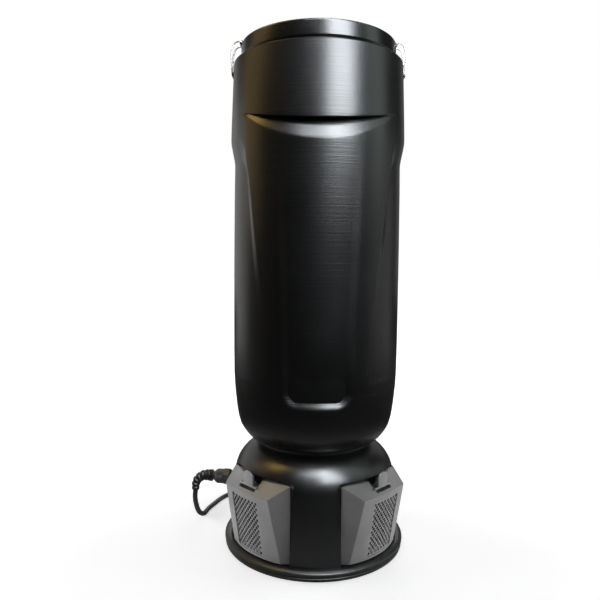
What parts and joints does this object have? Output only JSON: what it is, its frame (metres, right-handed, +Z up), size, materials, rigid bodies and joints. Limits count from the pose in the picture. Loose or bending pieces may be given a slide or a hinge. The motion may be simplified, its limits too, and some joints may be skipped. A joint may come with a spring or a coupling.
{
  "type": "backpack vacuum cleaner",
  "caption": "Round backpack vacuum cleaner: lift-off lid with wire latches and a swivel hose socket, bag tank, motor base with vented exhaust covers, cable and plug.",
  "frame": {"origin": "on the tank's axis, at floor level, in the middle of the base plate's underside", "axes": "+Z up along the tank's axis; -Y is the front, between the two exhaust covers; +X is to the right seen from the front; the harness plate is at +Y"},
  "size_m": [0.3032, 0.3038, 0.68],
  "materials": {
    "tank_shell": "satin black moulded plastic with a fine grain",
    "housing_shell": "satin black moulded plastic",
    "lid_shell": "glossy black plastic",
    "cover_shell": "matt dark grey moulded plastic",
    "grille_plate": "matt dark grey moulded plastic",
    "inner_plastic": "plain black plastic",
    "black_rubber": "soft black rubber",
    "cable_sheath": "smooth black cable sheath",
    "steel": "plain zinc-plated steel",
    "wire": "bright drawn steel wire",
    "bearing_steel": "ground steel",
    "aluminium_sheet": "pressed sheet",
    "cast_metal": "die-cast, matt",
    "iron_stack": "laminated iron",
    "copper_wire": "lacquered copper wire",
    "brass_part": "plain brass",
    "carbon": "matt carbon",
    "filter_paper": "tan filter paper",
    "bag_card": "grey-brown card",
    "filter_cloth": "woven grey cloth",
    "foam": "open-cell foam",
    "exhaust_foam": "pale grey filter pad",
    "terminal_plastic": "cream plastic",
    "rocker_red": "glossy red plastic"
  },
  "bodies": {
    "vacuum": {"tank": "tank_shell", "tank_screws": "steel", "neck_seal": "black_rubber", "motor_housing": "housing_shell", "base_ring": "black_rubber", "base_plate": "inner_plastic", "base_screws": "steel", "harness_plate": "inner_plastic", "harness_screws": "steel", "harness_inserts": "brass_part", "dust_bag": "filter_paper", "bag_collar": "bag_card", "cloth_filter": "filter_cloth", "cloth_filter_ring": "inner_plastic", "motor_filter": "foam", "fan_casing": "aluminium_sheet", "motor_bracket": "cast_metal", "diffuser": "aluminium_sheet", "motor_frame": "cast_metal", "motor_gasket": "black_rubber", "motor_mount": "black_rubber", "stator_core": "iron_stack", "field_coils": "copper_wire", "brush_holders": "brass_part", "carbon_brushes": "carbon", "brush_springs": "bearing_steel", "upper_bearing": "bearing_steel", "lower_bearing": "bearing_steel", "acoustic_foam": "foam", "terminal_block": "terminal_plastic", "switch_housing": "inner_plastic", "exhaust_filters": "exhaust_foam", "cover_hinge_pins": "steel", "cable_gland": "inner_plastic", "strain_relief": "black_rubber", "mains_cable": "cable_sheath", "mains_plug": "black_rubber", "plug_pins": "brass_part"},
    "lid": {"lid": "lid_shell", "lid_liner": "inner_plastic", "lid_gasket": "black_rubber"},
    "hose_cuff": {"hose_cuff": "inner_plastic", "cuff_retainer": "steel"},
    "latch_left": {"latch_left": "wire"},
    "latch_right": {"latch_right": "wire"},
    "rotor": {"motor_shaft": "bearing_steel", "armature_core": "iron_stack", "armature_windings": "copper_wire", "commutator": "brass_part", "lower_fan": "aluminium_sheet", "upper_fan": "aluminium_sheet", "fan_nut": "steel", "cooling_fan": "inner_plastic"},
    "cover_left": {"exhaust_cover_left": "cover_shell", "exhaust_grille_left": "grille_plate"},
    "cover_right": {"exhaust_cover_right": "cover_shell", "exhaust_grille_right": "grille_plate"},
    "cover_latch_left": {"latch_tab_left": "cover_shell"},
    "cover_latch_right": {"latch_tab_right": "cover_shell"},
    "rocker": {"switch_rocker": "rocker_red"}
  },
  "joints": [
    {"name": "lid_lift", "type": "slide", "parent": "vacuum", "child": "lid", "axis": [0, 0, 1], "range_m": [0, 0.08]},
    {"name": "cuff_swivel", "type": "hinge", "parent": "lid", "child": "hose_cuff", "pos_m": [0, 0, 0.65], "axis": [0, 0, 1], "continuous": true},
    {"name": "latch_left_swing", "type": "hinge", "parent": "lid", "child": "latch_left", "pos_m": [-0.0992, 0, 0.6615], "axis": [0, 1, 0], "range_deg": [0, 110]},
    {"name": "latch_right_swing", "type": "hinge", "parent": "lid", "child": "latch_right", "pos_m": [0.0992, 0, 0.6615], "axis": [0, -1, 0], "range_deg": [0, 110]},
    {"name": "rotor_spin", "type": "hinge", "parent": "vacuum", "child": "rotor", "pos_m": [0, 0, 0.06], "axis": [0, 0, 1], "continuous": true},
    {"name": "cover_left_tilt", "type": "hinge", "parent": "vacuum", "child": "cover_left", "pos_m": [-0.07561, -0.0743, 0.017], "axis": [0.7009, -0.7133, 0], "range_deg": [0, 30]},
    {"name": "cover_right_tilt", "type": "hinge", "parent": "vacuum", "child": "cover_right", "pos_m": [0.07561, -0.0743, 0.017], "axis": [0.7009, 0.7133, 0], "range_deg": [0, 30]},
    {"name": "cover_latch_left_press", "type": "hinge", "parent": "cover_left", "child": "cover_latch_left", "pos_m": [-0.08288, -0.08145, 0.1011], "axis": [0.7009, -0.7133, 0], "range_deg": [0, 10], "stiffness_Nm_per_rad": 0.2},
    {"name": "cover_latch_right_press", "type": "hinge", "parent": "cover_right", "child": "cover_latch_right", "pos_m": [0.08288, -0.08145, 0.1011], "axis": [0.7009, 0.7133, 0], "range_deg": [0, 10], "stiffness_Nm_per_rad": 0.2},
    {"name": "power_rocker", "type": "hinge", "parent": "vacuum", "child": "rocker", "pos_m": [0.0534, 0.09249, 0.062], "axis": [0, 0, -1], "range_deg": [0, 20]}
  ]
}
